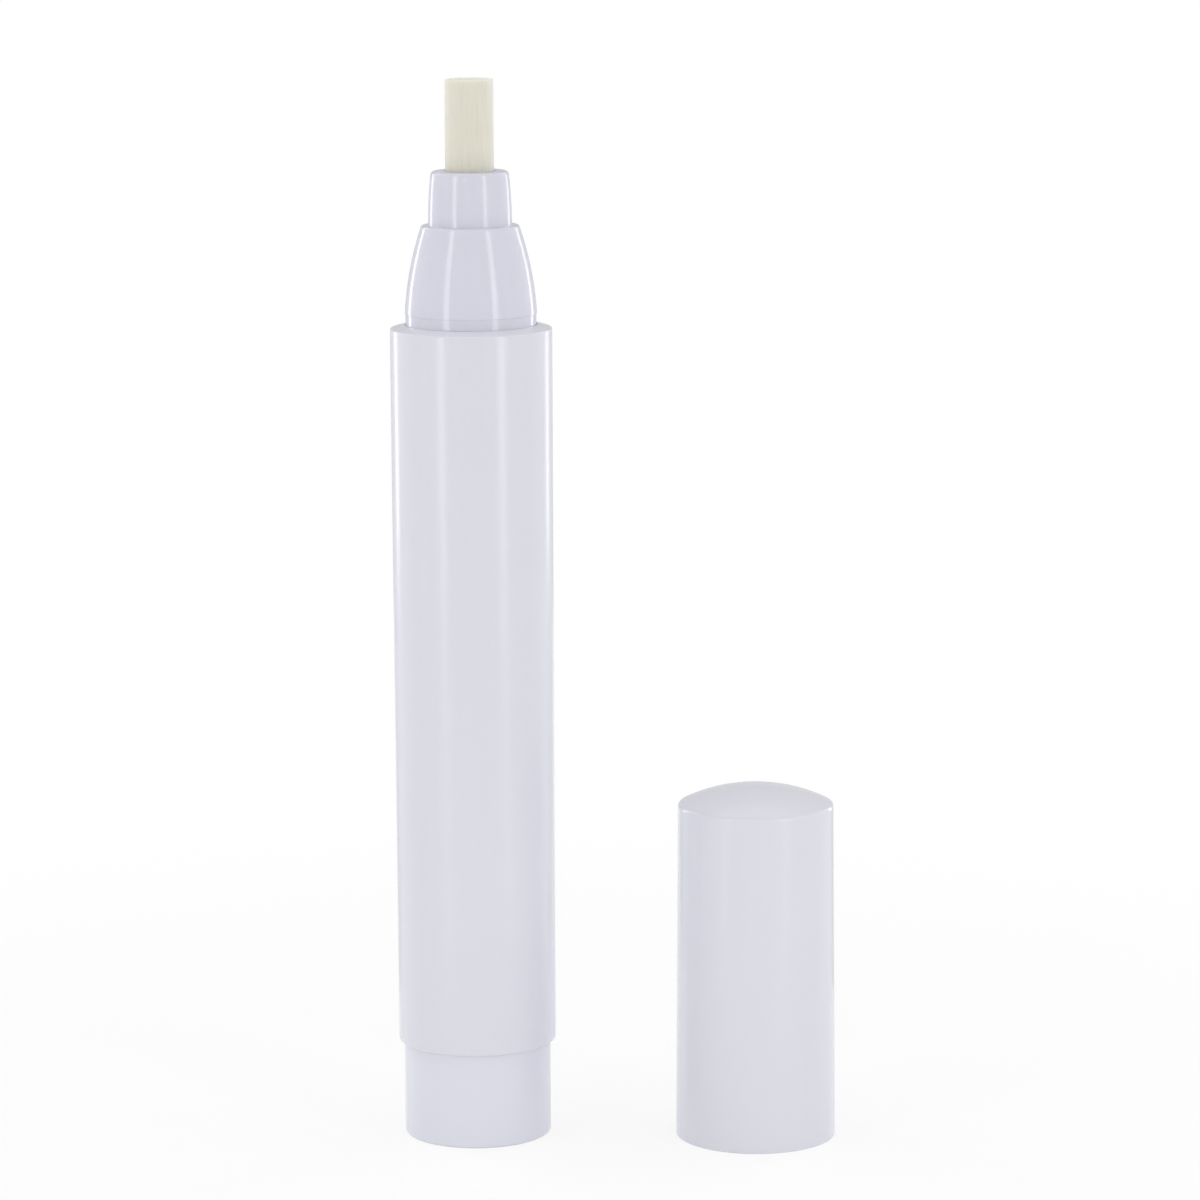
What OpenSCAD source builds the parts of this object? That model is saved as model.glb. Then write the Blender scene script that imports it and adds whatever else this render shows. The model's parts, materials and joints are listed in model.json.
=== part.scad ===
// Press-to-feed felt-tip care pen that stands on its tail, with its cap taken off and stood beside it.
// The origin is the centre of the tail's base, and +Z runs along the pen towards its nib.

/* [Barrel] */
// Outer diameter of the barrel at its rim
barrel_d = 16; // [14:0.1:20]
// How much smaller the barrel's diameter is at its foot
barrel_draft = 0.22; // [0:0.02:0.6]
// Length of the barrel from foot to rim
barrel_l = 72.4; // [60:0.2:110]
// Wall of the barrel at its rim
barrel_wall = 1.5; // [1.2:0.05:2]
// How far the rim's top slopes down from the bore to its outer edge
rim_drop = 0.4; // [0:0.05:0.6]
// Round on the outer edge of the rim
rim_round = 0.2; // [0.1:0.05:0.4]
// Round on the outer edge of the foot
foot_round = 0.25; // [0.1:0.05:0.4]
// Bevel on the bore's edge at both ends
bore_lead = 0.05; // [0.05:0.05:0.3]

/* [Tail plug] */
// Step from the barrel's foot in to the stub, on the radius
stub_step = 0.54; // [0.3:0.02:0.8]
// Length of the stub that shows below the barrel
stub_l = 9.6; // [6:0.1:16]
// Round on the stub's bottom edge
stub_round = 0.5; // [0.2:0.05:0.9]
// Thickness of the stub's base
plug_floor = 1.6; // [1.2:0.1:3]
// Wall of the plug's spigot
plug_wall = 1.3; // [1:0.1:1.8]
// Length of the spigot inside the barrel
spigot_l = 9; // [6:0.5:14]

/* [Nose cone] */
// Height of the straight land just above the rim, where the cap snaps on
land_h = 1.06; // [1:0.02:2]
// How far the land is set in from the bore, on the radius
land_in = 0.05; // [0.03:0.01:0.08]
// How far the cone's base stands proud of the land
base_proud = 0.065; // [0.05:0.005:0.1]
// Height of the curved cone, from the land to the shoulder
cone_h = 8.69; // [7:0.1:14]
// Slope of the cone where it leaves the land, in degrees
cone_lean = 3.2; // [0:0.2:6]
// Diameter of the shoulder at the top of the cone
shoulder_d = 9.62; // [9.3:0.02:10.4]
// Round on the shoulder's edge
shoulder_round = 0.22; // [0.05:0.01:0.26]
// Diameter of the tip where it stands on the shoulder
tip_foot_d = 8.24; // [8:0.02:8.6]
// Diameter of the tip at its top, before its edge is rounded
tip_top_d = 7.64; // [7.3:0.02:7.8]
// Height of the tip
tip_h = 5.31; // [4:0.1:8]
// Round on the tip's top edge
tip_round = 0.4; // [0.1:0.05:0.5]
// Length of the nib's guide bore, from the top of the tip
guide_l = 6.5; // [5:0.1:7]
// Bevel on the guide bore's edge at the top of the tip
guide_lead = 0.12; // [0.05:0.01:0.2]
// Length of the skirt inside the barrel
skirt_l = 7.4; // [7:0.1:14]
// Wall of the skirt
skirt_wall = 1.1; // [0.9:0.05:1.4]

/* [Nib] */
// Diameter of the felt nib
nib_d = 4.8; // [4:0.1:5.8]
// Length of the nib that shows above the tip
nib_out = 8.98; // [4:0.1:12]
// Round on the nib's end
nib_round = 0.2; // [0.1:0.05:0.5]
// How far the nib can be pressed in
press_travel = 1.6; // [0.8:0.1:2]
// Wall of the holder round the nib's rear
holder_wall = 0.7; // [0.5:0.05:0.9]
// Length of the holder
holder_l = 8.9; // [8:0.1:9.2]
// Thickness of the holder's floor
holder_floor = 1; // [0.8:0.1:1.6]
// How far the holder's flange stands out
flange_proud = 0.8; // [0.6:0.05:1]
// Height of the holder's flange
flange_h = 1.2; // [0.8:0.1:2]
// Width of the feed notches through the flange
notch_w = 1.4; // [1:0.1:2]
// Diameter of the feed hole in the holder's floor
feed_hole_d = 2; // [1.4:0.1:2.2]

/* [Valve] */
// Thickness of the rubber seat gasket
gasket_h = 1.2; // [0.8:0.1:1.6]
// Diameter of the gasket's port
port_d = 4; // [3.4:0.1:4.4]
// Diameter of the stem's fluted part
stem_d = 2.8; // [2.4:0.1:3.2]
// Thickness of the stem's four flutes
flute_t = 0.8; // [0.6:0.05:1]
// Diameter of the stem's sealing head
head_d = 5.2; // [4.8:0.1:5.4]
// Thickness of the sealing head's rim
head_h = 0.8; // [0.6:0.1:1.2]
// Height of the boss under the head that centres the spring
boss_h = 1.2; // [0.6:0.1:2]
// Diameter of the stem's tail, which slides in the cage's floor
rod_d = 2; // [1.6:0.1:2.2]
// Wire of the return spring
wire_d = 0.45; // [0.4:0.01:0.5]
// Diameter of the return spring, measured across the middle of its wire
coil_d = 3.9; // [3.6:0.05:4]
// Turns of the return spring
coil_turns = 9; // [5:1:10]
// Wall of the valve cage
cage_wall = 0.9; // [0.7:0.05:1.2]
// Height of the cage's flange
cage_flange_h = 2; // [1.6:0.1:3]
// Depth of the cage below its flange
cage_depth = 13; // [11:0.5:18]
// Thickness of the cage's floor
cage_floor = 1.2; // [1:0.1:2]
// Width of the windows in the cage's wall
window_w = 2; // [1.4:0.1:2.4]
// Height of those windows
window_h = 7; // [4:0.5:9]
// Number of windows
windows = 4; // [2:1:4]

/* [Cap] */
// How much wider the cap's mouth is than the barrel's rim
mouth_proud = 0.04; // [0:0.02:0.3]
// How much smaller the cap's diameter is at its top edge
cap_draft = 0.48; // [0:0.02:0.8]
// Height of the dome above the top edge
cap_dome = 1.9; // [0.8:0.1:3]
// Round on the cap's top edge
cap_round = 0.3; // [0.1:0.05:0.6]
// Wall of the cap's top
cap_roof = 1.5; // [1.2:0.1:2.5]
// Bevel inside the cap's mouth
mouth_bevel = 0.25; // [0.1:0.05:0.4]
// Height of the snap ridge inside the cap's mouth
snap_h = 0.4; // [0.3:0.02:0.46]
// Wall of the sealing cup inside the cap
cup_wall = 0.9; // [0.6:0.05:1.2]
// Clear room above the nib inside the sealing cup
nib_room = 4.5; // [1:0.1:8]
// Clear gap between the sealing cup and the cap's ceiling
cup_gap = 3.3; // [0.5:0.1:12]
// Thickness of the cup's closed end
cup_roof = 1; // [0.8:0.1:2]
// Number of fins that centre the cup in the cap
fins = 6; // [4:1:8]
// Thickness of a fin
fin_t = 0.9; // [0.6:0.05:1.2]
// Clear gap between the barrel and the cap that stands beside it
stand_gap = 12; // [8:0.1:40]
// How far the cap stands in front of the pen
stand_front = 1.7; // [0:0.1:6]

/* [Fits] */
// Running clearance on the radius of whatever slides
run_fit = 0.08; // [0.04:0.01:0.1]
// Overlap on the radius of whatever is pressed in
press_fit = 0.03; // [0.01:0.005:0.05]
// Clearance on the radius between the cap and the nose
cap_fit = 0.06; // [0.03:0.01:0.1]
// Height of the ridges that snap the nose and the plug into the barrel
ridge_proud = 0.15; // [0.1:0.01:0.2]
// Clearance that keeps two faces apart at rest
face_gap = 0.05; // [0.02:0.01:0.1]

/* [Hidden] */
$fn = 96;
// One overrun for every cut
over = barrel_wall / 2;

// Heights along the pen
foot_z = stub_l;
rim_z = foot_z + barrel_l;
cone_z = rim_z + land_h;
shoulder_z = cone_z + cone_h;
tip_z = shoulder_z + tip_h;
guide_z = tip_z - guide_l;
skirt_z = rim_z - skirt_l;
holder_z = guide_z - holder_l;
cage_top_z = skirt_z + cage_flange_h;
gasket_top_z = cage_top_z + gasket_h;
cage_floor_z = skirt_z - cage_depth;
head_z = cage_top_z - head_h;
spring_floor_z = cage_floor_z + cage_floor;
window_z = skirt_z - cage_wall - window_h;

// Radii
rim_r = barrel_d / 2;
foot_r = rim_r - barrel_draft / 2;
bore_r = rim_r - barrel_wall;
stub_r = foot_r - stub_step;
land_r = bore_r - land_in;
cone_r = land_r + base_proud;
shoulder_r = shoulder_d / 2;
nib_r = nib_d / 2;
holder_r = nib_r + holder_wall;
flange_r = holder_r + flange_proud;
chamber_r = flange_r + run_fit;
skirt_bore_r = bore_r - skirt_wall;
port_r = port_d / 2;
head_r = head_d / 2;
rod_r = rod_d / 2;
cage_bore_r = head_r + 2 * run_fit;
cage_r = cage_bore_r + cage_wall;

// The slope of the rim's top, and the height from which its outer edge is rounded
rim_lean = atan(rim_drop / barrel_wall);
rim_turn_z = rim_z - rim_drop * (1 - rim_round / barrel_wall) - rim_round / cos(rim_lean);

// Ridges that snap pieces into the barrel: their height along the barrel is twice what they stand out
ridge_h = 2 * ridge_proud;
nose_ridge_z = (skirt_z + rim_z) / 2;
plug_ridge_z = foot_z + spigot_l / 2;

// The sides of the cone and the tip, each one arc
cone_arc = side_arc([cone_r, cone_z], [shoulder_r, shoulder_z], cone_lean);
tip_arc = side_arc([tip_foot_d / 2, shoulder_z], [tip_top_d / 2, tip_z], 0);

// The cap, in its own heights from the mouth, which meets the rim when the cap is on
mouth_r = rim_r + mouth_proud / 2;
cap_top_r = mouth_r - cap_draft / 2;
cap_bore_r = cone_r + cap_fit;
cap_x = rim_r + stand_gap + mouth_r;
cap_y = -stand_front;
snap_r = land_r + run_fit / 2;
snap_z = (mouth_bevel + land_h) / 2;
cup_z = shoulder_z - rim_z + 2 * shoulder_round;
cup_top_z = tip_z - rim_z + nib_out + nib_room + cup_roof;
ceiling_z = cup_top_z + cup_gap;
dome_r = (pow(cap_top_r, 2) + pow(cap_dome, 2)) / (2 * cap_dome);
dome_centre = [0, ceiling_z - reach(dome_r - cap_roof, cap_bore_r)];
cap_h = dome_centre.y + dome_r - cap_dome;
cap_edge = [cap_top_r - cap_round, dome_centre.y + reach(dome_r - cap_round, cap_top_r - cap_round)];
lip_h = 2 * cup_wall;
lip_r = arc_at(tip_arc, shoulder_z + 2 * shoulder_round + lip_h / 2);
cup_bore_r = lip_r + cup_wall / 4;
cup_r = cup_bore_r + cup_wall;

// The spring's wire follows a helix
curl_rings = 8;
wire_sides = 6;
boss_r = coil_d / 2 * cos(180 / curl_rings) - wire_d / 2 - run_fit;
coil_low = spring_floor_z + face_gap + wire_d / 2;
coil_high = head_z - face_gap - wire_d / 2;
coil_lean = atan((coil_high - coil_low) / (PI * coil_d * coil_turns));
coil_points = [for (i = [0 : curl_rings * coil_turns]) coil_point(i / curl_rings)];
coil_gap = min([for (i = [0 : len(coil_points) - curl_rings])
                for (j = [i + curl_rings - 1 : min(i + curl_rings + 1, len(coil_points) - 1)])
                norm(coil_points[j] - coil_points[i])]) - wire_d;
echo(spring_least_gap = coil_gap);

// The second side of a right triangle, from its longest side and the other one
function reach(longest, side) = sqrt(pow(longest, 2) - pow(side, 2));

// The arc that leaves a low point of the profile at a slope and ends at a high one: its radius and its centre
function side_arc(low, high, lean) =
    let (chord = high - low, turn = 2 * (atan(-chord.x / chord.y) - lean), r = norm(chord) / (2 * sin(turn / 2)))
    [r, low - r * [cos(lean), sin(lean)]];

// Its radius from the pen's axis at a height
function arc_at(arc, z) = arc[1].x + reach(arc[0], z - arc[1].y);

function coil_point(turn) = [
    coil_d / 2 * cos(360 * turn),
    coil_d / 2 * sin(360 * turn),
    coil_low + (coil_high - coil_low) * turn / coil_turns
];

function wire_ring(turn) = [
    for (k = [0 : wire_sides - 1])
    let (a = 360 * k / wire_sides, out = wire_d / 2 * cos(a), up = wire_d / 2 * sin(a))
    coil_point(turn) + [
        out * cos(360 * turn) + up * sin(coil_lean) * sin(360 * turn),
        out * sin(360 * turn) - up * sin(coil_lean) * cos(360 * turn),
        up * cos(coil_lean)
    ]
];

// A bar of the profile from one height to another, from one radius to another
module band(r0, r1, z0, z1) {
    translate([r0, z0]) square([r1 - r0, z1 - z0]);
}

// What a round of radius e takes off an edge, given its centre and the directions out of both faces
module edge_round(centre, e, out_a, out_b) {
    translate(centre) difference() {
        polygon([[0, 0], (e + over) * out_a, (e + over) * (out_a + out_b), (e + over) * out_b]);
        circle(e);
    }
}

module top_round(r, z, e) {
    edge_round([r - e, z - e], e, [1, 0], [0, 1]);
}

module bottom_round(r, z, e) {
    edge_round([r - e, z + e], e, [0, -1], [1, 0]);
}

// The same for the edge between the side that an arc gives and a flat top
module arc_round(arc, z, e) {
    inner = [arc[0] - e, arc[1]];
    centre = [arc_at(inner, z - e), z - e];
    edge_round(centre, e, (centre - arc[1]) / inner[0], [0, 1]);
}

// The profile inside an arc, from one height to another
module arc_side(arc, z0, z1) {
    intersection() {
        band(0, arc_at(arc, max(z0, arc[1].y)), z0, z1);
        translate(arc[1]) circle(arc[0], $fn = 4 * $fn);
    }
}

// What a bevel takes off the mouth of a bore of radius r, which opens upwards if up is 1 and downwards if it is -1
module lead(r, z, e, up) {
    polygon([[r - over, z - up * (e + over)], [r + e + over, z + up * over], [r - over, z + up * over]]);
}

// A ridge of the profile, with a bevel on both sides
module ridge(r, z, proud) {
    polygon([
        [r - proud, z - proud - ridge_h], [r, z - ridge_h], [r + proud, z - proud],
        [r + proud, z + proud], [r, z + ridge_h], [r - proud, z + proud + ridge_h]
    ]);
}

module barrel() {
    color("#dedee8") rotate_extrude() difference() {
        polygon([
            [bore_r, foot_z], [foot_r, foot_z], [foot_r, foot_z + foot_round],
            [rim_r, rim_turn_z], [rim_r, rim_z - rim_drop], [bore_r, rim_z]
        ]);
        edge_round([rim_r - rim_round, rim_turn_z], rim_round, [1, 0], [sin(rim_lean), cos(rim_lean)]);
        bottom_round(foot_r, foot_z, foot_round);
        ridge(bore_r, nose_ridge_z, ridge_proud + run_fit);
        ridge(bore_r, plug_ridge_z, ridge_proud + run_fit);
        lead(bore_r, rim_z, bore_lead, 1);
        lead(bore_r, foot_z, bore_lead, -1);
    }
}

module tail_plug() {
    spigot_r = bore_r + press_fit;
    color("#d9dbe4") rotate_extrude() difference() {
        union() {
            band(0, stub_r, 0, foot_z);
            band(0, spigot_r, foot_z - over, foot_z + spigot_l);
            ridge(bore_r, plug_ridge_z, ridge_proud);
        }
        band(-over, bore_r - plug_wall, plug_floor, foot_z + spigot_l + over);
        bottom_round(stub_r, 0, stub_round);
        top_round(spigot_r, foot_z + spigot_l, plug_wall / 3);
    }
}

module nose_cone() {
    color("#d6d6e2") rotate_extrude() difference() {
        union() {
            band(0, bore_r + press_fit, skirt_z, rim_z - over);
            band(0, land_r, skirt_z, cone_z);
            ridge(bore_r, nose_ridge_z, ridge_proud);
            arc_side(cone_arc, cone_z, shoulder_z);
            arc_side(tip_arc, shoulder_z - over, tip_z);
        }
        bottom_round(bore_r + press_fit, skirt_z, skirt_wall / 3);
        arc_round(cone_arc, shoulder_z, shoulder_round);
        arc_round(tip_arc, tip_z, tip_round);
        lead(nib_r + run_fit, tip_z, guide_lead, 1);
        band(-over, nib_r + run_fit, guide_z - over, tip_z + over);
        band(-over, chamber_r, gasket_top_z - over, guide_z);
        band(-over, skirt_bore_r, skirt_z - over, gasket_top_z);
    }
}

module nib() {
    color("#ded9cb") rotate_extrude() difference() {
        band(0, nib_r, holder_z + holder_floor, tip_z + nib_out);
        top_round(nib_r, tip_z + nib_out, nib_round);
    }
}

module nib_holder() {
    color("#f2f2ee") difference() {
        rotate_extrude() difference() {
            union() {
                band(0, holder_r, holder_z, guide_z);
                band(0, flange_r, guide_z - flange_h, guide_z);
            }
            band(-over, nib_r - press_fit, holder_z + holder_floor, guide_z + over);
            band(-over, feed_hole_d / 2, holder_z - over, guide_z);
        }
        for (a = [0 : 90 : 270])
            rotate([0, 0, a]) translate([holder_r, -notch_w / 2, guide_z - flange_h - over])
                cube([flange_proud + over, notch_w, flange_h + 2 * over]);
    }
}

module valve_gasket() {
    color("#4a4c50") rotate_extrude()
        band(port_r, skirt_bore_r - run_fit, cage_top_z, gasket_top_z);
}

module valve_cage() {
    color("#eceef0") difference() {
        rotate_extrude() difference() {
            union() {
                band(0, cage_r, cage_floor_z, cage_top_z);
                band(0, skirt_bore_r + press_fit, skirt_z, cage_top_z);
            }
            band(-over, cage_bore_r, spring_floor_z, cage_top_z + over);
            band(-over, rod_r + run_fit, cage_floor_z - over, cage_top_z);
        }
        for (i = [0 : windows - 1])
            rotate([0, 0, 360 * i / windows])
                translate([0, -window_w / 2, window_z]) cube([cage_r + over, window_w, window_h]);
    }
}

module valve_stem() {
    color("#e4e6ea") {
        translate([0, 0, head_z]) linear_extrude(holder_z - head_z) intersection() {
            circle(d = stem_d);
            union() {
                square([stem_d, flute_t], center = true);
                square([flute_t, stem_d], center = true);
            }
        }
        rotate_extrude() {
            band(0, head_r, head_z, cage_top_z);
            band(0, boss_r, head_z - boss_h, head_z);
            band(0, rod_r, cage_floor_z - 2 * press_travel, head_z);
        }
    }
}

module valve_spring() {
    rings = curl_rings * coil_turns;
    points = [for (i = [0 : rings]) each wire_ring(i / curl_rings)];
    sides = [
        for (i = [0 : rings - 1])
        for (k = [0 : wire_sides - 1])
        let (a = i * wire_sides + k, b = i * wire_sides + (k + 1) % wire_sides)
        each [[a, a + wire_sides, b], [b, a + wire_sides, b + wire_sides]]
    ];
    first = [for (k = [1 : wire_sides - 2]) [0, k, k + 1]];
    last = [for (k = [1 : wire_sides - 2]) [rings * wire_sides, rings * wire_sides + k + 1, rings * wire_sides + k]];
    color("#b9bcc2") polyhedron(points, concat(sides, first, last));
}

module cap_shell() {
    color("#dcdce4") translate([cap_x, cap_y]) rotate_extrude() {
        difference() {
            union() {
                polygon([[0, 0], [mouth_r, 0], [cap_top_r, cap_edge.y], [cap_top_r, cap_h], [0, cap_h]]);
                intersection() {
                    band(0, cap_top_r, cap_h - over, cap_h + cap_dome);
                    translate(dome_centre) circle(dome_r, $fn = 4 * $fn);
                }
            }
            edge_round(cap_edge, cap_round, [1, 0], (cap_edge - dome_centre) / (dome_r - cap_round));
            band(-over, cap_bore_r, -over, ceiling_z);
            intersection() {
                band(-over, cap_bore_r, ceiling_z - over, cap_h);
                translate(dome_centre) circle(dome_r - cap_roof, $fn = 4 * $fn);
            }
            lead(cap_bore_r, 0, mouth_bevel, -1);
        }
        translate([snap_r + snap_h / 2, snap_z]) circle(d = snap_h);
    }
}

module cap_seal_cup() {
    color("#f4f4f2") translate([cap_x, cap_y]) {
        rotate_extrude() difference() {
            band(0, cup_r, cup_z, cup_top_z);
            band(-over, cup_bore_r, cup_z + lip_h, cup_top_z - cup_roof);
            band(-over, lip_r, cup_z - over, cup_top_z - cup_roof);
            top_round(cup_r, cup_top_z, cup_wall / 2);
        }
        intersection() {
            translate([0, 0, cup_z + lip_h]) linear_extrude(cup_top_z - cup_z - lip_h - cup_wall) difference() {
                circle(cap_bore_r + press_fit);
                circle(cup_r);
            }
            for (i = [0 : fins - 1])
                rotate([0, 0, 360 * i / fins]) translate([cup_bore_r, -fin_t / 2, cup_z])
                    cube([cap_bore_r, fin_t, cup_top_z - cup_z]);
        }
    }
}

barrel();
tail_plug();
nose_cone();
nib();
nib_holder();
valve_gasket();
valve_cage();
valve_stem();
valve_spring();
cap_shell();
cap_seal_cup();
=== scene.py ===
import json
import math
import random

import bmesh
import bpy
from mathutils import Matrix, Vector


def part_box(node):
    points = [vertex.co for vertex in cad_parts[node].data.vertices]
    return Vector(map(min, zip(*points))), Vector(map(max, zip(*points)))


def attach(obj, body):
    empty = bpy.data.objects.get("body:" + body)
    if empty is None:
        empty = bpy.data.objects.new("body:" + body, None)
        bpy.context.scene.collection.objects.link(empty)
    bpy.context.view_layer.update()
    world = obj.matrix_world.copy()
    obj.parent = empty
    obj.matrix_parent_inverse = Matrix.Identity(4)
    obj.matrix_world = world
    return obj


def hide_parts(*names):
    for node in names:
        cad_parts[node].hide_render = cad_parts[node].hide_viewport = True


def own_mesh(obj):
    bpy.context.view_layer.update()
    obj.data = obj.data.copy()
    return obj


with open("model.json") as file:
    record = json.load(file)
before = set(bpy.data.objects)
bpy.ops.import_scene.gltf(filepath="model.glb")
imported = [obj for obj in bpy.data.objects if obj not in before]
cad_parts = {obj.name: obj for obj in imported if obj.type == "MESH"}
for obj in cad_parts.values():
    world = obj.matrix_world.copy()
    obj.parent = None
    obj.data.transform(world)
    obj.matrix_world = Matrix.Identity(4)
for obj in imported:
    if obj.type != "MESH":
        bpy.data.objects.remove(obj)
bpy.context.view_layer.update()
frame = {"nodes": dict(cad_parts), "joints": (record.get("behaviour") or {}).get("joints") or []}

mm = 0.001  # every size below is in millimetres, angles are in degrees
scene = bpy.context.scene
scene.view_settings.view_transform = "Standard"


def nodeBox(node):
    low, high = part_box(node)
    return low / mm, high / mm


# Camera: a long lens a little above the nib, looking slightly down

cameraPlan = {
    "place": (12.57, -479.7, 137.6),  # x is to the right of the pen's axis, y towards the camera is negative
    "dip": 9.85,
    "roll": -0.28,
    "lens": 146.85,
    "film": 36.0,
    "near": 10.0,
    "far": 20000.0,
}


def makeCamera(plan):
    data = bpy.data.cameras.new("camera")
    data.lens = plan["lens"]
    data.sensor_width = plan["film"]
    data.clip_start = plan["near"] * mm
    data.clip_end = plan["far"] * mm
    camera = bpy.data.objects.new("camera", data)
    tilt = Matrix.Rotation(math.pi / 2 - math.radians(plan["dip"]), 4, "X")
    roll = Matrix.Rotation(math.radians(plan["roll"]), 4, "Z")
    camera.matrix_world = Matrix.Translation(Vector(plan["place"]) * mm) @ tilt @ roll
    scene.collection.objects.link(camera)
    scene.camera = camera


makeCamera(cameraPlan)
print("camera set")


# Shader trees, written as expressions

class Wire:
    # one output socket; sums and products on it add the Math nodes
    def __init__(self, finish, socket):
        self.finish = finish
        self.socket = socket

    def maths(self, operation, first, second):
        return self.finish.add("ShaderNodeMath", {"operation": operation}, {0: first, 1: second})

    def __add__(self, other):
        return self.maths("ADD", self, other)

    def __radd__(self, other):
        return self.maths("ADD", other, self)

    def __sub__(self, other):
        return self.maths("SUBTRACT", self, other)

    def __rsub__(self, other):
        return self.maths("SUBTRACT", other, self)

    def __mul__(self, other):
        return self.maths("MULTIPLY", self, other)

    def __rmul__(self, other):
        return self.maths("MULTIPLY", other, self)


class Finish:
    # the node tree of one material, or of the world
    def __init__(self, owner):
        owner.use_nodes = True
        self.tree = owner.node_tree
        self.tree.nodes.clear()

    def add(self, kind, settings=None, values=None, out=0):
        node = self.tree.nodes.new(kind)
        for key, value in (settings or {}).items():
            setattr(node, key, value)
        for key, value in (values or {}).items():
            socket = node.inputs[key]
            if isinstance(value, Wire):
                self.tree.links.new(value.socket, socket)
            elif socket.type == "RGBA":
                socket.default_value = (*value, 1.0)
            else:
                socket.default_value = value
        return Wire(self, node.outputs[out]) if node.outputs else None

    def place(self):
        return self.add("ShaderNodeTexCoord", out="Object")

    def noise(self, size, detail=2.0, shift=0.0):
        # size is how long the blotches are, in one number or along x, y and z
        sizes = size if isinstance(size, tuple) else (size, size, size)
        scale = [1 / (s * mm) for s in sizes]
        where = self.add("ShaderNodeVectorMath", {"operation": "MULTIPLY_ADD"},
                         {0: self.place(), 1: scale, 2: (shift, shift, shift)})
        return self.add("ShaderNodeTexNoise", None, {"Vector": where, "Scale": 1.0, "Detail": detail})

    def spread(self, value, low, high, start=0.0, end=1.0, smooth=False):
        kind = "SMOOTHSTEP" if smooth else "LINEAR"
        return self.add("ShaderNodeMapRange", {"interpolation_type": kind},
                        {"Value": value, "From Min": low, "From Max": high, "To Min": start, "To Max": end})

    def mix(self, share, first, second):
        return self.add("ShaderNodeMix", {"data_type": "RGBA"}, {0: share, 6: first, 7: second}, out=2)

    def bump(self, height, depth, strength=1.0):
        values = {"Height": height, "Distance": depth * mm, "Strength": strength}
        return self.add("ShaderNodeBump", None, values)

    def surface(self, values):
        shader = self.add("ShaderNodeBsdfPrincipled", None, values)
        self.add("ShaderNodeOutputMaterial", None, {"Surface": shader})


def newMaterial(name):
    material = bpy.data.materials.new(name)
    return material, Finish(material)


resin = {
    "cloudSize": 16.0,                 # slow change of tone in the pigment
    "flowSize": (1.2, 1.2, 45.0),      # streaks that the melt leaves along the mould
    "hazeSize": 6.0,                   # patches of duller gloss
    "rippleSize": (3.5, 3.5, 16.0),    # sink and ripple of the wall
    "grainSize": 0.16,                 # polish marks of the steel mould
    "calm": (0.32, 0.68),              # the part of the noise that is used
    "ior": 1.5,
}


def gloss(name, look):
    # pigmented gloss plastic
    material, finish = newMaterial(name)
    cloud = finish.spread(finish.noise(resin["cloudSize"], shift=look["seed"]), *resin["calm"])
    flow = finish.spread(finish.noise(resin["flowSize"], shift=look["seed"]), *resin["calm"])
    haze = finish.spread(finish.noise(resin["hazeSize"], detail=3.0, shift=look["seed"]), *resin["calm"])
    ripple = finish.noise(resin["rippleSize"], detail=0.0, shift=look["seed"])
    grain = finish.noise(resin["grainSize"], detail=1.0)
    colour = finish.mix(cloud * look["cloud"] + flow * look["flow"], look["colour"], look["shade"])
    finish.surface({
        "Base Color": colour,
        "Roughness": look["dullness"] + haze * look["haze"],
        "IOR": resin["ior"],
        "Normal": finish.bump(ripple * look["ripple"] + grain * look["grain"], depth=1.0),
    })
    return material


# Meshes turned on the pen's axis

lathe = {
    "columns": 288,
    "arcSteps": 10,
    "sharp": 35.0,       # edges that turn by more than this stay sharp
}


def rounded(corners, closed=False):
    # corners are (radius, height, round), and each round becomes an arc that meets both sides
    points = []
    for i, (r, z, e) in enumerate(corners):
        here = Vector((r, z))
        if not e or (not closed and i in (0, len(corners) - 1)):
            points.append(here)
            continue
        back = (Vector(corners[i - 1][:2]) - here).normalized()
        on = (Vector(corners[(i + 1) % len(corners)][:2]) - here).normalized()
        half = back.angle(on) / 2
        centre = here + (back + on).normalized() * e / math.sin(half)
        start = here + back * e / math.tan(half) - centre
        turn = (math.pi - 2 * half) * (1 if back.x * on.y - back.y * on.x < 0 else -1)
        points += [centre + Matrix.Rotation(turn * k / lathe["arcSteps"], 2) @ start
                   for k in range(lathe["arcSteps"] + 1)]
    return points


def arcSide(low, high, lean, steps):
    # points from low to high on one arc that leaves low at lean degrees from upright
    low, high = Vector(low), Vector(high)
    across = high - low
    slope = math.atan2(-across.x, across.y)
    turn = 2 * (slope - math.radians(lean))
    radius = across.length / (2 * math.sin(turn / 2))
    start = Vector((math.cos(math.radians(lean)), math.sin(math.radians(lean)))) * radius
    centre = low - start
    return [centre + Matrix.Rotation(turn * k / steps, 2) @ start for k in range(steps + 1)]


def turned(name, outline, centre=(0.0, 0.0), closed=False, shape=None):
    # spins an outline of (radius, height); a point on the axis becomes one vertex
    bm = bmesh.new()
    columns = lathe["columns"]
    rings = []
    for r, z in outline:
        onAxis = r == 0
        ring = []
        for k in range(1 if onAxis else columns):
            angle = 2 * math.pi * k / columns
            away, up = shape(k, r, z) if shape else (r, z)
            spot = Vector((centre[0] + away * math.cos(angle), centre[1] + away * math.sin(angle), up))
            ring.append(bm.verts.new(spot * mm))
        rings.append(ring)
    pairs = list(zip(rings, rings[1:] + rings[:1]))
    for low, high in pairs if closed else pairs[:-1]:
        for k in range(columns):
            on = k + 1
            corners = [low[k % len(low)], low[on % len(low)], high[on % len(high)], high[k % len(high)]]
            bm.faces.new(list(dict.fromkeys(corners)))
    return finishMesh(name, bm)


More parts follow.
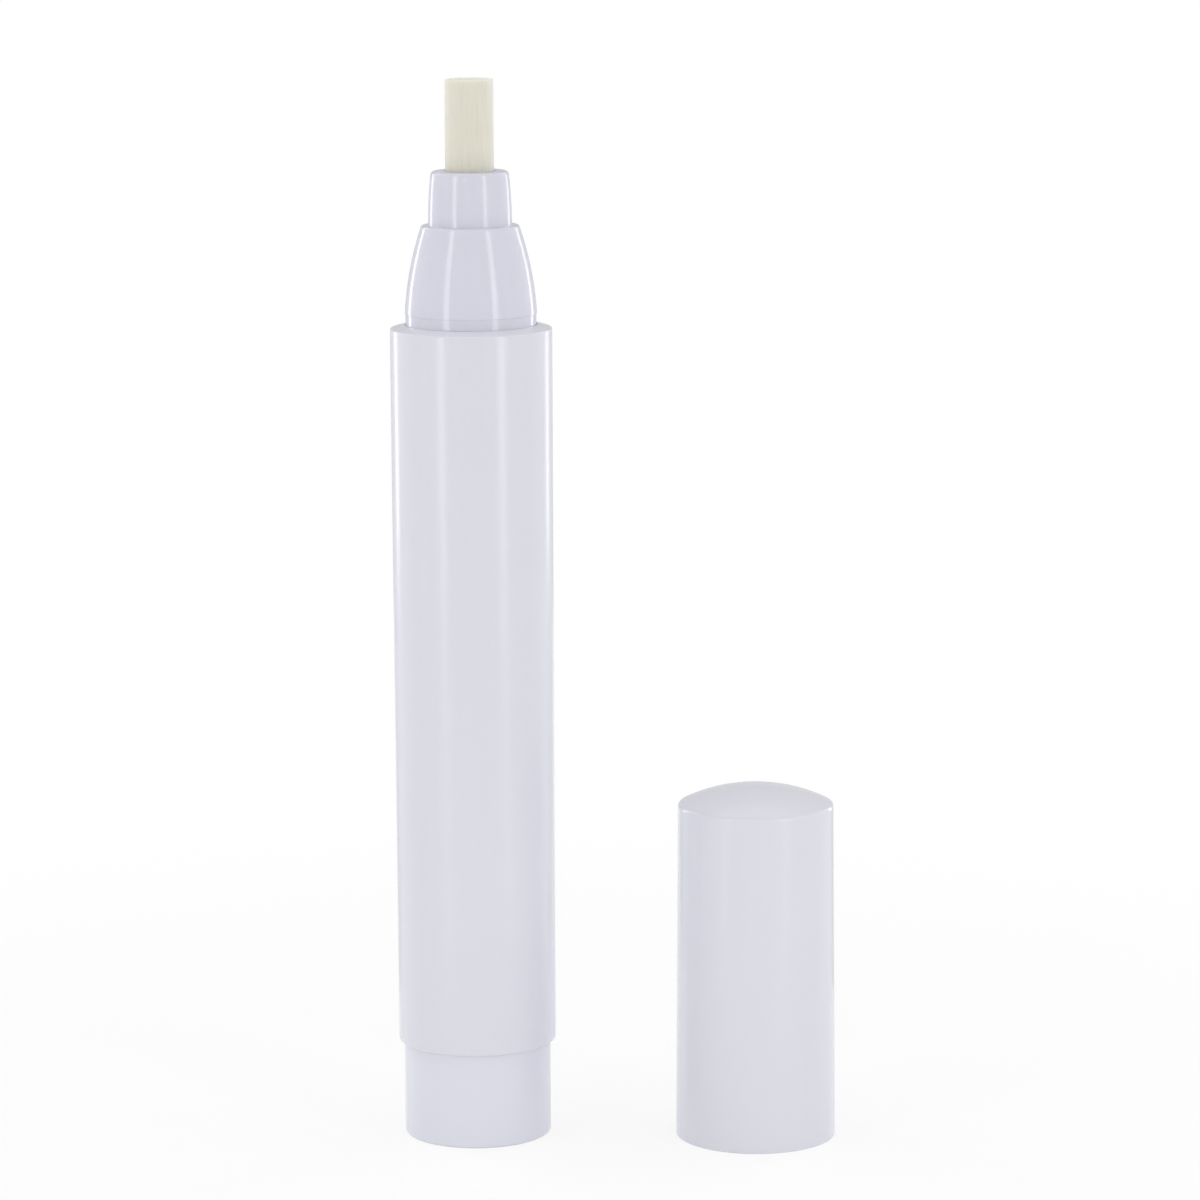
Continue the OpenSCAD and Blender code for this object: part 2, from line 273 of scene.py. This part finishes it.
def finishMesh(name, bm):
    bmesh.ops.recalc_face_normals(bm, faces=bm.faces)
    mesh = bpy.data.meshes.new(name)
    bm.to_mesh(mesh)
    bm.free()
    mesh.shade_smooth()
    mesh.set_sharp_from_angle(angle=math.radians(lathe["sharp"]))
    return mesh


def sweep(bm, points, radii, sides):
    # a closed tube along points, with a radius at each of them
    side = Vector((0, 0, 1)).cross(points[1] - points[0]).normalized()
    rings = []
    for i, (point, radius) in enumerate(zip(points, radii)):
        ahead = (points[min(i + 1, len(points) - 1)] - points[max(i - 1, 0)]).normalized()
        side = (side - ahead * side.dot(ahead)).normalized()
        up = ahead.cross(side)
        angles = [2 * math.pi * k / sides for k in range(sides)]
        rings.append([bm.verts.new((point + (side * math.cos(a) + up * math.sin(a)) * radius) * mm)
                      for a in angles])
    for low, high in zip(rings, rings[1:]):
        for k in range(sides):
            on = (k + 1) % sides
            bm.faces.new((low[k], low[on], high[on], high[k]))
    bm.faces.new(rings[0])
    bm.faces.new(rings[-1])


def addPiece(name, mesh, body, node, material):
    mesh.materials.append(material)
    piece = bpy.data.objects.new(name, mesh)
    scene.collection.objects.link(piece)
    weighted = piece.modifiers.new("evenNormals", "WEIGHTED_NORMAL")
    weighted.keep_sharp = True
    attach(piece, body)
    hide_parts(node)
    return piece


# Barrel: a straight tube with a little draft, rounded at its rim

barrel = {
    "wall": 1.5,
    "draft": 0.11,       # how much smaller the radius is at the foot
    "rimDrop": 0.4,      # how far the rim's top slopes down from the bore outwards
    "rimRound": 0.2,
    "footRound": 0.25,
    "lead": 0.05,        # bevel on the bore's two ends
    "leadRound": 0.02,
    "grooveProud": 0.23,
    "grooveFlat": 0.15,
    "colour": (0.705, 0.706, 0.774),
    "shade": (0.7, 0.7015, 0.7705),
    "cloud": 0.6,
    "flow": 0.4,
    "dullness": 0.195,
    "haze": 0.025,
    "ripple": 0.0003,
    "grain": 0.00002,
    "seed": 3.0,
}


def makeBarrel(look):
    low, high = nodeBox("barrel")
    rimR, footZ, rimZ = high.x, low.z, high.z
    footR, boreR = rimR - look["draft"], rimR - look["wall"]
    lead, turn, drop = look["lead"], look["leadRound"], look["rimDrop"]
    deep, flat = look["grooveProud"], look["grooveFlat"]
    groove = []
    for z in ((nodeBox("nose_cone")[0].z + rimZ) / 2, (footZ + nodeBox("tail_plug")[1].z) / 2):
        groove += [(boreR, z + flat + deep, 0), (boreR + deep, z + flat, 0),
                   (boreR + deep, z - flat, 0), (boreR, z - flat - deep, 0)]
    outline = rounded([
        (footR, footZ, look["footRound"]), (rimR, rimZ - drop, look["rimRound"]),
        (boreR + lead, rimZ - drop * lead / look["wall"], turn), (boreR, rimZ - lead, turn), *groove,
        (boreR, footZ + lead, turn), (boreR + lead, footZ, turn),
    ], closed=True)
    mesh = turned("barrelTube", outline, closed=True)
    addPiece("barrelTube", mesh, "pen", "barrel", gloss("barrelGloss", look))


makeBarrel(barrel)
print("barrel turned")


# Tail plug: the narrower stub that the pen stands on, and its spigot inside the barrel

tail = {
    "wall": 1.3,
    "floor": 1.6,
    "stubRound": 0.28,
    "seamRound": 0.12,
    "boreR": 6.5,
    "press": 0.03,
    "ridgeProud": 0.15,
    "gateR": 0.9,        # the gate's mark under the base
    "gateDeep": 0.15,
    # partly painted light: lighter than the barrel's colour to offset the shade near the floor; the bluer
    # tint is the stub's own
    "colour": (0.716, 0.724, 0.798),
    "shade": (0.711, 0.7195, 0.794),
    "cloud": 0.6,
    "flow": 0.4,
    "dullness": 0.24,
    "haze": 0.025,
    "ripple": 0.0003,
    "grain": 0.00002,
    "seed": 11.0,
}


def makeTail(look):
    high = nodeBox("tail_plug")[1]
    stubR, topZ, seamZ = high.x, high.z, nodeBox("barrel")[0].z
    spigotR, innerR = look["boreR"] + look["press"], look["boreR"] - look["wall"]
    ridgeR, ridgeZ, proud = look["boreR"] + look["ridgeProud"], (seamZ + topZ) / 2, look["ridgeProud"]
    gateR, deep = look["gateR"], look["gateDeep"]
    gateRound, wallRound, floorRound = deep / 3, look["wall"] / 3, look["floor"] / 3
    outline = rounded([
        (0, deep, 0), (gateR, deep, gateRound), (gateR + deep, 0, gateRound),
        (stubR, 0, look["stubRound"]), (stubR, seamZ, look["seamRound"]),
        (spigotR, seamZ, 0), (spigotR, ridgeZ - 2 * proud, 0), (ridgeR, ridgeZ - proud, 0),
        (ridgeR, ridgeZ + proud, 0), (spigotR, ridgeZ + 2 * proud, 0),
        (spigotR, topZ, wallRound), (innerR, topZ, wallRound),
        (innerR, look["floor"], floorRound), (0, look["floor"], 0),
    ])
    mesh = turned("tailStub", outline)
    addPiece("tailStub", mesh, "pen", "tail_plug", gloss("tailGloss", look))


makeTail(tail)
print("tail plug turned")


# Nose cone: a straight land that the cap grips, the cone, a flat shoulder and the tip that guides the nib

nose = {
    "boreR": 6.5,
    "press": 0.03,
    "pressTop": 0.75,    # from the rim down to where the press part starts
    "landR": 6.45,
    "landH": 1.06,
    "coneR": 6.515,
    "coneFootRound": 0.03,
    "coneH": 8.69,
    "coneLean": 3.2,
    "coneSteps": 40,
    "shoulderR": 4.81,
    "shoulderRound": 0.22,
    "creaseRound": 0.05,
    "tipFootR": 4.12,
    "tipTopR": 3.82,
    "tipSteps": 12,
    "tipRound": 0.4,
    "guideR": 2.48,
    "guideLead": 0.12,
    "guideL": 6.5,
    "chamberR": 3.98,
    "skirtBoreR": 5.4,
    "skirtRound": 0.37,
    "ridgeProud": 0.15,
    "colour": (0.662, 0.662, 0.752),
    "shade": (0.657, 0.6575, 0.748),
    "cloud": 0.6,
    "flow": 0.4,
    "dullness": 0.13,
    "haze": 0.02,
    "ripple": 0.0003,
    "grain": 0.00002,
    "seed": 23.0,
}


def makeNose(look):
    low, high = nodeBox("nose_cone")
    skirtZ, tipZ, rimZ = low.z, high.z, nodeBox("barrel")[1].z
    seatZ = nodeBox("valve_gasket")[1].z
    coneZ = rimZ + look["landH"]
    shoulderZ = coneZ + look["coneH"]
    pressR, pressZ, proud = look["boreR"] + look["press"], rimZ - look["pressTop"], look["ridgeProud"]
    ridgeR, ridgeZ = look["boreR"] + proud, (skirtZ + rimZ) / 2
    cone = arcSide((look["coneR"], coneZ), (look["shoulderR"], shoulderZ),
                   lean=look["coneLean"], steps=look["coneSteps"])
    tip = arcSide((look["tipFootR"], shoulderZ), (look["tipTopR"], tipZ), lean=0.0, steps=look["tipSteps"])
    lead, leadRound, guideZ = look["guideLead"], look["guideLead"] / 3, tipZ - look["guideL"]
    outline = rounded([
        (pressR, skirtZ, look["skirtRound"]), (pressR, ridgeZ - 2 * proud, 0), (ridgeR, ridgeZ - proud, 0),
        (ridgeR, ridgeZ + proud, 0), (pressR, ridgeZ + 2 * proud, 0), (pressR, pressZ, 0),
        (look["landR"], pressZ, 0), (look["landR"], coneZ, 0), (look["coneR"], coneZ, look["coneFootRound"]),
        *[(p.x, p.y, 0) for p in cone[1:-1]], (look["shoulderR"], shoulderZ, look["shoulderRound"]),
        (look["tipFootR"], shoulderZ, look["creaseRound"]), *[(p.x, p.y, 0) for p in tip[1:-1]],
        (look["tipTopR"], tipZ, look["tipRound"]), (look["guideR"] + lead, tipZ, leadRound),
        (look["guideR"], tipZ - lead, leadRound), (look["guideR"], guideZ, 0), (look["chamberR"], guideZ, 0),
        (look["chamberR"], seatZ, 0), (look["skirtBoreR"], seatZ, 0), (look["skirtBoreR"], skirtZ, 0),
    ], closed=True)
    mesh = turned("noseCone", outline, closed=True)
    addPiece("noseCone", mesh, "pen", "nose_cone", gloss("noseGloss", look))


makeNose(nose)
print("nose cone turned")


# Nib: a rod of pressed fibre, cut square, with a fine lengthwise grain

nib = {
    "ring": 0.3,            # height of one ring of the mesh
    "edge": 0.12,           # round of the cut end
    "edgeSteps": 5,
    "groove": 0.035,        # deepest groove between fibres
    "drift": 2.2,           # how far a groove runs before it changes
    "rimFrom": 0.9,         # from this share of the radius out, an end's height follows its fibre
    "endRings": 16,
    "endRough": 0.03,       # how unevenly the fibres end
    "hairs": 70,
    "hairR": 0.011,
    "hairL": (0.25, 0.7),
    "hairLift": 0.07,       # most that a hair's free end stands off
    "hairRise": (0.2, 1.0),
    "hairSwing": 0.04,      # how far round a hair drifts, in radians
    "hairSteps": 5,
    "hairSides": 5,
    "hairTaper": 1.1,
    "bareFoot": 2.2,        # no hairs this near to the nose's tip
    "bareTop": 0.1,
    "seed": 5,
}

felt = {
    "topTone": (0.755, 0.738, 0.648),
    "mid": (0.755, 0.733, 0.64),
    # painted shade: darker and more olive over the foot of the nib, where the nose tip shades it
    "shadedFoot": (0.715, 0.695, 0.605),
    # painted shade: the low spots of the grain, the grooves and pores between fibres, are painted darker
    "creviceShade": (0.64, 0.615, 0.52),
    "fibreSize": (0.09, 0.09, 3.0),
    "tuftSize": (0.5, 0.5, 4.5),
    "poreSize": 0.12,
    "calm": (0.3, 0.7),
    "wander": 0.18,         # how unevenly the painted shade at the foot rises
    "shadedFootTo": (-0.02, 0.3),  # shares of the nib's height over which the painted shade at the foot turns to mid, and mid to the top tone
    "topToneFrom": (0.45, 1.05),
    "fibreShare": 0.55,
    "poreShare": 0.2,
    "tuftShare": 0.25,
    "creviceShadeFrom": (0.5, 0.05),
    "creviceShadeShare": 0.4,
    "dullness": 0.75,
    "haze": 0.12,
    "ior": 1.5,
    "soak": 0.7,            # share of the light that goes in among the fibres
    "soakReach": (1.0, 0.9, 0.7),
    "soakDepth": 1.0,
    "fuzz": 1.0,
    "fuzzDullness": 0.35,
    "fuzzTint": (1.0, 0.98, 0.94),
    "grainDeep": 0.03,
    "grainStrength": 0.8,
}


def feltFinish(name, look, footZ, topZ):
    material, finish = newMaterial(name)
    height = finish.add("ShaderNodeSeparateXYZ", None, {"Vector": finish.place()}, out="Z")
    fibre = finish.spread(finish.noise(look["fibreSize"], detail=3.0), *look["calm"])
    tuft = finish.spread(finish.noise(look["tuftSize"], detail=2.0), *look["calm"])
    pore = finish.spread(finish.noise(look["poreSize"], detail=3.0), *look["calm"])
    rise = finish.spread(height, footZ * mm, topZ * mm) + (tuft - 0.5) * look["wander"]
    # painted shade: the nib's foot, by the nose tip, turns darker and more olive
    low = finish.mix(finish.spread(rise, *look["shadedFootTo"], smooth=True), look["shadedFoot"], look["mid"])
    tone = finish.mix(finish.spread(rise, *look["topToneFrom"], smooth=True), low, look["topTone"])
    grain = fibre * look["fibreShare"] + pore * look["poreShare"] + tuft * look["tuftShare"]
    # painted shade where the bump sinks, in the grooves and pores between fibres
    creviceShade = finish.spread(grain, *look["creviceShadeFrom"]) * look["creviceShadeShare"]
    finish.surface({
        "Base Color": finish.mix(creviceShade, tone, look["creviceShade"]),
        "Roughness": look["dullness"] + pore * look["haze"],
        "IOR": look["ior"],
        "Subsurface Weight": look["soak"],
        "Subsurface Radius": look["soakReach"],
        "Subsurface Scale": look["soakDepth"] * mm,
        "Sheen Weight": look["fuzz"],
        "Sheen Roughness": look["fuzzDullness"],
        "Sheen Tint": look["fuzzTint"],
        "Normal": finish.bump(grain, look["grainDeep"], look["grainStrength"]),
    })
    return material


def makeNib(look):
    low, high = nodeBox("nib")
    radius, footZ, topZ = high.x, low.z, high.z
    rng = random.Random(look["seed"])
    columns = lathe["columns"]
    first = [rng.random() for _ in range(columns)]
    second = [rng.random() for _ in range(columns)]
    phase = [rng.uniform(0, 2 * math.pi) for _ in range(columns)]
    ends = [rng.random() for _ in range(columns)]

    def fibres(k, r, z):
        blend = 0.5 + 0.5 * math.sin(z / look["drift"] + phase[k])
        depth = first[k] * blend + second[k] * (1 - blend)
        share = r / radius
        fall = ends[k] if share > look["rimFrom"] else rng.random()
        atEnd = z > topZ - look["edge"]
        return r - look["groove"] * depth * share, z - look["endRough"] * fall * atEnd * share

    edgeR, edgeSteps, endRings = look["edge"], look["edgeSteps"], look["endRings"]
    straight = topZ - edgeR - footZ
    count = round(straight / look["ring"])
    side = [(radius, footZ + straight * i / count) for i in range(count + 1)]
    edge = [(radius - edgeR * (1 - math.cos(a)), topZ - edgeR * (1 - math.sin(a)))
            for a in (math.pi / 2 * k / edgeSteps for k in range(1, edgeSteps + 1))]
    end = [((radius - edgeR) * (1 - k / endRings), topZ) for k in range(1, endRings)]
    outline = [(0, footZ), *side, *edge, *end, (0, topZ)]
    rod = turned("feltNib", outline, shape=fibres)
    bm = bmesh.new()
    bm.from_mesh(rod)
    tipZ = nodeBox("nose_cone")[1].z
    steps, hairR, swingMost = look["hairSteps"], look["hairR"], look["hairSwing"]
    hairRadii = [hairR * (look["hairTaper"] - i / steps) for i in range(steps + 1)]
    for _ in range(look["hairs"]):
        # a loose hair lies along the side and lifts off at one end
        angle = rng.uniform(0, 2 * math.pi)
        length = rng.uniform(*look["hairL"])
        start = rng.uniform(tipZ + look["bareFoot"], topZ - length - look["bareTop"])
        lift = rng.uniform(*look["hairRise"]) * look["hairLift"]
        swing = rng.uniform(-swingMost, swingMost)
        points = []
        for i in range(steps + 1):
            t = i / steps
            a = angle + swing * t
            r = radius - hairR - look["hairLift"] + lift * t * t
            points.append(Vector((r * math.cos(a), r * math.sin(a), start + length * t)))
        sweep(bm, points, hairRadii, look["hairSides"])
    mesh = finishMesh("feltNib", bm)
    addPiece("feltNib", mesh, "feed", "nib", feltFinish("felt", felt, tipZ, topZ))


makeNib(nib)
print("nib spun")


# Cap: a plain tapered tube under a shallow dome

cap = {
    "draft": 0.24,
    "dome": 1.9,
    "edgeRound": 0.5,
    "mouthRound": 0.1,
    "mouthBevel": 0.25,
    "roof": 1.5,
    "domeSteps": 36,
    "boreR": 6.575,
    "snapR": 6.49,       # the ridge that snaps under the cone, at its narrowest
    "snapZ": 0.655,
    "snapH": 0.4,
    "snapSteps": 6,
    "colour": (0.706, 0.706, 0.769),
    "shade": (0.701, 0.7015, 0.7655),
    "cloud": 0.6,
    "flow": 0.4,
    "dullness": 0.15,
    "haze": 0.02,
    "ripple": 0.0003,
    "grain": 0.00002,
    "seed": 37.0,
}


def domePoints(radius, topZ, outR, steps):
    # from the axis out to outR, on a sphere of that radius that peaks at topZ
    spots = [outR * k / steps for k in range(steps + 1)]
    return [(r, topZ - radius + math.sqrt(radius ** 2 - r ** 2), 0) for r in spots]


def makeCap(look):
    low, high = nodeBox("cap_shell")
    middle = ((low.x + high.x) / 2, (low.y + high.y) / 2)
    mouthR, topZ = (high.x - low.x) / 2, high.z
    topR = mouthR - look["draft"]
    domeR = (topR ** 2 + look["dome"] ** 2) / (2 * look["dome"])
    outer = domePoints(domeR, topZ, topR, look["domeSteps"])
    outer[-1] = (topR, topZ - look["dome"], look["edgeRound"])
    inner = domePoints(domeR - look["roof"], topZ - look["roof"], look["boreR"], look["domeSteps"])
    ridge, steps = look["snapH"] / 2, look["snapSteps"]
    sweepTo = math.acos((look["snapR"] + ridge - look["boreR"]) / ridge)
    snap = [(look["snapR"] + ridge * (1 - math.cos(a)), look["snapZ"] + ridge * math.sin(a), 0)
            for a in (sweepTo * (k / steps - 1) for k in range(2 * steps + 1))]
    outline = rounded([
        *outer, (mouthR, 0, look["mouthRound"]), (look["boreR"] + look["mouthBevel"], 0, look["mouthRound"]),
        (look["boreR"], look["mouthBevel"], look["mouthRound"] / 2), *snap, *reversed(inner),
    ])
    mesh = turned("capShell", outline, middle)
    addPiece("capShell", mesh, "cap", "cap_shell", gloss("capGloss", look))


makeCap(cap)
print("cap turned")


# Return spring: drawn wire, wound at its resting length; in the real pen it shortens as the nib is pressed

spring = {
    "wireR": 0.225,
    "coilR": 1.95,
    "turns": 9,
    "ringsPerTurn": 30,
    "sides": 12,
    "colour": (0.56, 0.57, 0.59),
    "drawn": (0.44, 0.45, 0.47),
    "streakSize": (0.5, 0.5, 0.05),  # marks of the drawing die
    "calm": (0.3, 0.7),
    "dullness": 0.24,
    "haze": 0.14,
    "streakDeep": 0.002,
    "streakStrength": 0.5,
}


def steelFinish(name, look):
    material, finish = newMaterial(name)
    streak = finish.spread(finish.noise(look["streakSize"], detail=3.0), *look["calm"])
    finish.surface({
        "Base Color": finish.mix(streak, look["colour"], look["drawn"]),
        "Metallic": 1.0,
        "Roughness": look["dullness"] + streak * look["haze"],
        "Normal": finish.bump(streak, look["streakDeep"], look["streakStrength"]),
    })
    return material


def makeSpring(look):
    low, high = nodeBox("valve_spring")
    lowZ, highZ = low.z + look["wireR"], high.z - look["wireR"]
    count = look["turns"] * look["ringsPerTurn"]
    points = []
    for i in range(count + 1):
        angle = 2 * math.pi * i / look["ringsPerTurn"]
        z = lowZ + (highZ - lowZ) * i / count
        points.append(Vector((look["coilR"] * math.cos(angle), look["coilR"] * math.sin(angle), z)))
    bm = bmesh.new()
    sweep(bm, points, [look["wireR"]] * len(points), look["sides"])
    mesh = finishMesh("returnSpring", bm)
    steel = steelFinish("springSteel", look)
    piece = addPiece("returnSpring", mesh, "pen", "valve_spring", steel)
    press = next(j for j in frame["joints"] if j["name"] == "nib_press")
    travel = max(press["range_m"]) / mm
    1 - travel / (high.z - low.z)
    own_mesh(piece)


makeSpring(spring)
print("spring wound")


# The small pieces inside keep their own shapes, and get their finishes here

inner = {
    "naturalPlastic": {
        "nodes": ("nib_holder", "valve_cage", "valve_stem"),
        "colour": (0.8, 0.81, 0.82), "shade": (0.76, 0.775, 0.79), "blotch": 1.4,
        "dullness": 0.42, "haze": 0.12, "depth": 0.004, "ior": 1.5,
    },
    "softLiner": {
        "nodes": ("cap_seal_cup",),
        "colour": (0.82, 0.82, 0.8), "shade": (0.78, 0.782, 0.765), "blotch": 2.2,
        "dullness": 0.48, "haze": 0.12, "depth": 0.005, "ior": 1.5,
    },
    "sealRubber": {
        "nodes": ("valve_gasket",),
        "colour": (0.035, 0.036, 0.04), "shade": (0.055, 0.056, 0.06), "blotch": 0.5,
        "dullness": 0.55, "haze": 0.2, "depth": 0.006, "ior": 1.52,
    },
}

innerGrain = {
    "calm": (0.3, 0.7),
    "fineness": 12.0,    # how many times finer the grain is than the blotches
    "strength": 0.6,
}


def dressInner(name, look):
    material, finish = newMaterial(name)
    blotch = finish.spread(finish.noise(look["blotch"], detail=3.0), *innerGrain["calm"])
    fine = finish.noise(look["blotch"] / innerGrain["fineness"], detail=2.0)
    finish.surface({
        "Base Color": finish.mix(blotch, look["colour"], look["shade"]),
        "Roughness": look["dullness"] + blotch * look["haze"],
        "IOR": look["ior"],
        "Normal": finish.bump(fine, look["depth"], innerGrain["strength"]),
    })
    for node in look["nodes"]:
        mesh = frame["nodes"][node].data
        mesh.materials.clear()
        mesh.materials.append(material)


for innerName, innerLook in inner.items():
    dressInner(innerName, innerLook)
print("inner pieces dressed")


# Floor, light and air

studio = {
    "air": 0.445,            # strength of the light that comes from all round
    "floorR": 1500.0,
    "floorSides": 96,
    "floorColour": (0.93, 0.93, 0.93),
    "floorGlow": 0.8,        # share of the floor that shows plain white; the rest keeps the shadow
    "glowFrom": 40.0,        # from here out the floor fades to plain white
    "glowTo": 170.0,
    "floorDullness": 0.8,
    "sealer": 0.6,           # a thin gloss coat on the paper
    "sealerDullness": 0.2,
    "toothSize": 0.8,        # the paper's grain
    "toothDeep": 0.01,
    "toothStrength": 0.3,
}

card = {
    # a grey card behind the pen, out of the picture; the gloss shows it on the outline and on what faces up
    "back": 300.0,
    "wide": 760.0,
    "tall": 420.0,
    "low": (0.68, 0.68, 0.69),
    "high": (0.56, 0.56, 0.57),
    "from": 60.0,        # between these two heights the low grey turns to the high one
    "to": 140.0,
    "near": 50.0,        # two wings of it lie on the floor, from here to the card
    "lift": 0.5,
    "wings": ((-8.0, -19.0, -36.0), (36.0, 19.0, 36.0)),  # foot in x, then its two sides' angles from y
}

glare = {
    # the front strips mirrored in the floor; it only carries their lines further down the gloss
    "foot": 14.0,        # half-way between the pen and the cap
    "near": -65.0,
    "far": -240.0,
    "lift": 0.5,
    "tone": (1.6, 1.6, 1.6),
    "sides": ((37.5, 47.0), (-40.0, -49.5)),  # angles from y of the two sides of each
}

strip = {"away": 360.0, "high": 192.0, "wide": 60.0, "tall": 380.0, "lean": 0.0}
strips = {
    # tall soft lamps that draw the bright lines; turn is from the front, positive to the right
    "frontLeft": {**strip, "turn": -42.0, "glow": 3.25},
    "frontRight": {**strip, "turn": 44.5, "glow": 3.25},
    "backLeft": {**strip, "turn": -133.8, "glow": 3.0},
    "backRight": {**strip, "turn": 137.0, "glow": 2.55},
}

sideFill = {"away": 300.0, "high": 330.0, "wide": 300.0, "tall": 240.0, "lean": 45.0, "glow": 1.2}
quarterFill = {"away": 320.0, "high": 102.0, "wide": 200.0, "tall": 200.0, "lean": 0.0}
fills = {
    # broad lamps that even out the sides, top and foot and leave no line in the gloss
    "sideLeft": {**sideFill, "turn": -96.0},
    "sideRight": {**sideFill, "turn": 96.0},
    "quarterLeft": {**quarterFill, "turn": -62.0, "glow": 0.82},
    "quarterRight": {**quarterFill, "turn": 62.0, "glow": 0.76},
    "lowFront": {"away": 75.0, "high": 12.0, "wide": 200.0, "tall": 20.0,
                 "lean": 0.0, "turn": 11.0, "glow": 0.35},
    "top": {"away": 0.0, "high": 450.0, "wide": 600.0, "tall": 600.0,
            "lean": 90.0, "turn": 0.0, "glow": 0.42},
}


def seenRays(finish):
    # 1 for what is seen directly, in a reflection or through glass, 0 for light that only falls on things
    rays = [finish.add("ShaderNodeLightPath", out=kind)
            for kind in ("Is Camera Ray", "Is Glossy Ray", "Is Transmission Ray")]
    return finish.spread(rays[0] + rays[1] + rays[2], 0.0, 1.0)


def makeAir(look):
    world = bpy.data.worlds.new("air")
    scene.world = world
    finish = Finish(world)
    air = finish.add("ShaderNodeBackground", None, {"Color": (1, 1, 1), "Strength": look["air"]})
    white = finish.add("ShaderNodeBackground", None, {"Color": (1, 1, 1), "Strength": 1.0})
    both = finish.add("ShaderNodeMixShader", None, {0: seenRays(finish), 1: air, 2: white})
    finish.add("ShaderNodeOutputWorld", None, {"Surface": both})


def makeFloor(look):
    bm = bmesh.new()
    bmesh.ops.create_circle(bm, cap_ends=True, segments=look["floorSides"], radius=look["floorR"] * mm)
    mesh = finishMesh("floor", bm)
    material, finish = newMaterial("paper")
    away = finish.add("ShaderNodeVectorMath", {"operation": "LENGTH"}, {0: finish.place()}, out="Value")
    fade = finish.spread(away, look["glowFrom"] * mm, look["glowTo"] * mm,
                         start=look["floorGlow"], smooth=True)
    tooth = finish.noise(look["toothSize"], detail=3.0)
    paper = finish.add("ShaderNodeBsdfPrincipled", None, {
        "Base Color": look["floorColour"],
        "Roughness": look["floorDullness"],
        "Coat Weight": look["sealer"],
        "Coat Roughness": look["sealerDullness"],
        "Normal": finish.bump(tooth, look["toothDeep"], look["toothStrength"]),
    })
    white = finish.add("ShaderNodeEmission", None, {"Color": (1, 1, 1), "Strength": 1.0})
    both = finish.add("ShaderNodeMixShader", None, {0: seenRays(finish) * fade, 1: paper, 2: white})
    finish.add("ShaderNodeOutputMaterial", None, {"Surface": both})
    mesh.materials.append(material)
    floor = bpy.data.objects.new("floor", mesh)
    scene.collection.objects.link(floor)


def wedge(foot, sides, near, far, lift):
    # a sheet on the floor between two lines that start at x = foot, cut off at y = near and y = far
    first, second = (math.tan(math.radians(side)) for side in sides)
    return [(foot + first * near, near, lift), (foot + second * near, near, lift),
            (foot + second * far, far, lift), (foot + first * far, far, lift)]


def makeSheets(name, sheets, tone):
    # flat sheets that show only in the gloss
    bm = bmesh.new()
    for sheet in sheets:
        bm.faces.new([bm.verts.new(Vector(spot) * mm) for spot in sheet])
    mesh = finishMesh(name, bm)
    material, finish = newMaterial(name)
    light = finish.add("ShaderNodeEmission", None, {"Color": tone(finish)})
    finish.add("ShaderNodeOutputMaterial", None, {"Surface": light})
    mesh.materials.append(material)
    piece = bpy.data.objects.new(name, mesh)
    piece.visible_camera = False
    piece.visible_diffuse = False
    piece.visible_shadow = False
    scene.collection.objects.link(piece)


def makeCard(look):
    half, back = look["wide"] / 2, look["back"]
    sheets = [[(-half, back, 0), (half, back, 0), (half, back, look["tall"]), (-half, back, look["tall"])]]
    sheets += [wedge(foot, sides, look["near"], back, look["lift"]) for foot, *sides in look["wings"]]

    def tone(finish):
        height = finish.add("ShaderNodeSeparateXYZ", None, {"Vector": finish.place()}, out="Z")
        rise = finish.spread(height, look["from"] * mm, look["to"] * mm, smooth=True)
        return finish.mix(rise, look["low"], look["high"])

    makeSheets("greyCard", sheets, tone)


def makeGlare(look):
    sheets = [wedge(look["foot"], sides, look["near"], look["far"], look["lift"]) for sides in look["sides"]]
    makeSheets("stripGlare", sheets, lambda finish: look["tone"])


def makeLamp(name, plan, shine):
    data = bpy.data.lights.new(name, "AREA")
    data.shape = "RECTANGLE"
    data.size = plan["wide"] * mm
    data.size_y = plan["tall"] * mm
    data.energy = plan["glow"] * math.pi * data.size * data.size_y  # watts for that brightness of the panel
    lamp = bpy.data.objects.new(name, data)
    turn = math.radians(plan["turn"])
    place = Vector((math.sin(turn) * plan["away"], -math.cos(turn) * plan["away"], plan["high"]))
    tilt = Matrix.Rotation(math.radians(90 - plan["lean"]), 4, "X")
    lamp.matrix_world = Matrix.Translation(place * mm) @ Matrix.Rotation(turn, 4, "Z") @ tilt
    lamp.visible_camera = False
    lamp.visible_glossy = shine
    scene.collection.objects.link(lamp)


makeAir(studio)
makeFloor(studio)
makeCard(card)
makeGlare(glare)
for group, shine in ((strips, True), (fills, False)):
    for lampName, lampPlan in group.items():
        makeLamp(lampName, lampPlan, shine)
print("studio lit")
